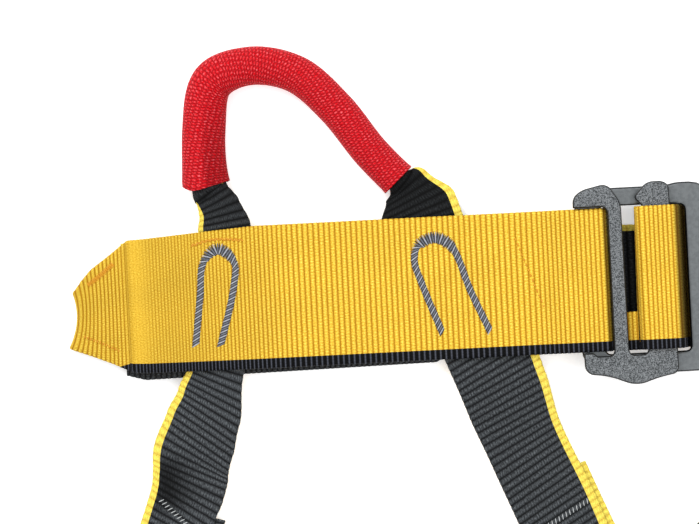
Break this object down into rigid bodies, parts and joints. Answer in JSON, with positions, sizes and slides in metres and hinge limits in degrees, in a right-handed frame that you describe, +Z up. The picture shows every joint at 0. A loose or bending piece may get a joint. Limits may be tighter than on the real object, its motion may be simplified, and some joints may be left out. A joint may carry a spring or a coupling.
{
  "type": "climbing chest harness",
  "caption": "Webbing chest harness lying flat, with a wide front band, sleeved tie-in loop, hook-plate buckle, back strap and shoulder straps.",
  "frame": {"origin": "on the surface that the harness lies on, at the underside of the back strap, under the middle of the front band and the tie-in loop", "axes": "+X along the front band towards the buckle, +Y across the band towards the tie-in loop, +Z up from the surface"},
  "size_m": [0.4439, 0.4063, 0.0139],
  "materials": {
    "yellow_webbing": "ribbed woven polyester with a black lower selvage",
    "black_webbing": "ribbed woven polyester with one yellow edge",
    "red_sleeve": "matte tubular weave",
    "frame_metal": "smooth satin grey coating",
    "plate_metal": "fine textured grey coating"
  },
  "bodies": {
    "root": {"front_band": "yellow_webbing", "backing_band": "black_webbing", "side_band": "yellow_webbing", "back_strap": "black_webbing", "tie_in_webbing": "black_webbing", "loop_sleeve": "red_sleeve", "shoulder_strap_left": "black_webbing", "shoulder_strap_right": "black_webbing", "buckle_frame": "frame_metal", "buckle_plate": "plate_metal"}
  },
  "joints": []
}
